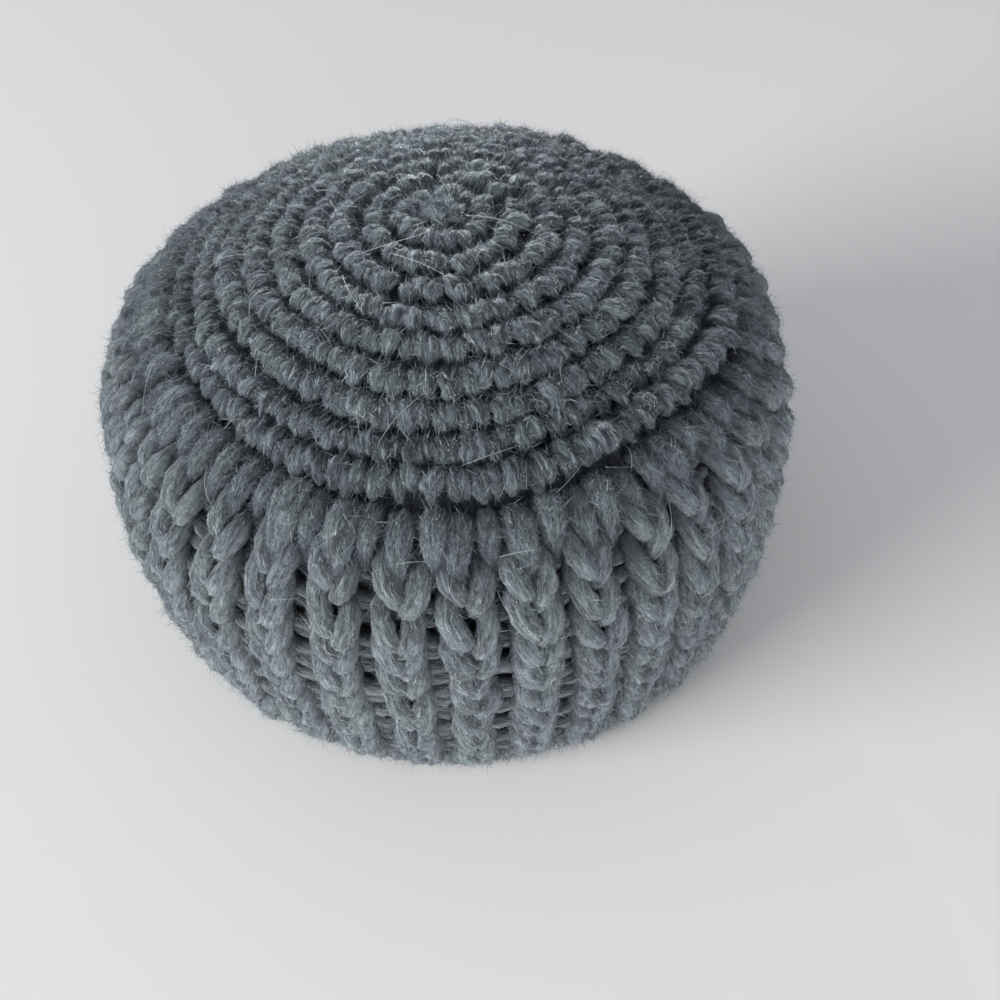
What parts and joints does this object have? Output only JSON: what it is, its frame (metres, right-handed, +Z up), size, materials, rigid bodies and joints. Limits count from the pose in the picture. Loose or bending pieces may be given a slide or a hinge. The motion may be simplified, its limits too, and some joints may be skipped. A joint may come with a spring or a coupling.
{
  "type": "crocheted wool cap",
  "caption": "Crocheted wool cap with a flat crown of concentric rounds, a raised crown edge, a bulging ribbed band and a plain hem.",
  "frame": {"origin": "middle of the cap's footprint, on the surface that it stands on", "axes": "+Z up through the middle of the crown, -Y towards the front, +X towards the wearer's left"},
  "size_m": [0.1886, 0.1932, 0.1095],
  "materials": {
    "wool_crown": "brushed heathered wool yarn",
    "wool_band": "brushed heathered wool yarn"
  },
  "bodies": {
    "root": {"crown": "wool_crown", "crown_edge": "wool_crown", "ribbed_band": "wool_band", "hem": "wool_band"}
  },
  "joints": []
}
